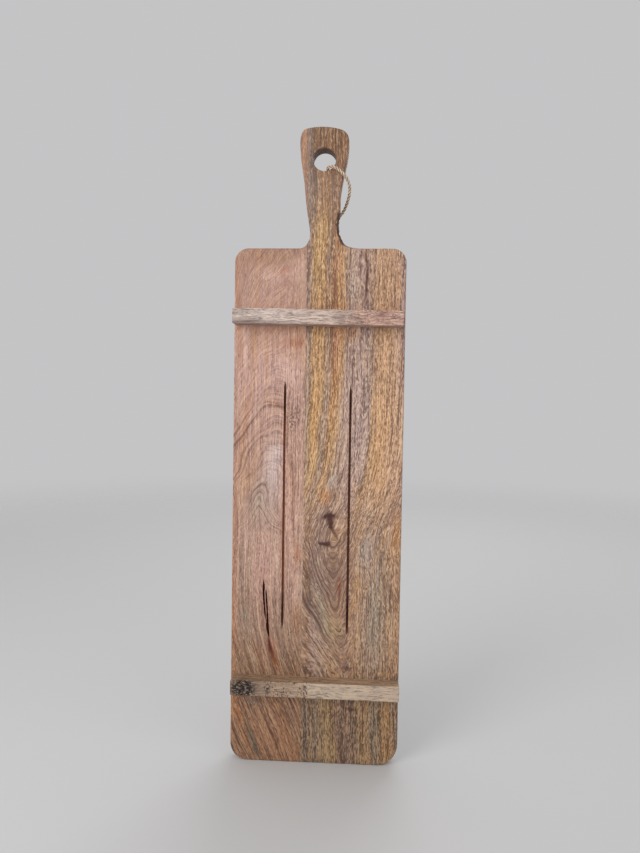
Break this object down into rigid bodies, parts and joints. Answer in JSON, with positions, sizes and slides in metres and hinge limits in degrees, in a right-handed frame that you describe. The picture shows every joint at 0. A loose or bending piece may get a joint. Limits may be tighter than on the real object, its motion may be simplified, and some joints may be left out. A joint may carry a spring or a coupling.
{
  "type": "wooden serving board",
  "caption": "Long wooden serving board with a paddle handle, a hanging hole with a twine loop, square bars across one face and long narrow saw kerfs.",
  "frame": {"origin": "middle of the lower end, in the plane of the face that carries the bars", "axes": "+Z runs along the board to its handle, -Y points out of the face with the bars, +X is to the right when that face is seen"},
  "size_m": [0.187, 0.0472, 0.701],
  "materials": {
    "pink_wood": "matt, lightly oiled",
    "golden_wood": "matt, lightly oiled",
    "grey_bar_wood": "matt, sawn and sanded",
    "pale_bar_wood": "matt, sawn and sanded",
    "jute_twine": "natural fibre"
  },
  "bodies": {
    "root": {"left_plank": "pink_wood", "handle_cheek": "pink_wood", "right_plank": "golden_wood", "upper_bar": "grey_bar_wood", "lower_bar": "pale_bar_wood", "hanging_twine": "jute_twine", "twine_knot": "jute_twine"}
  },
  "joints": []
}
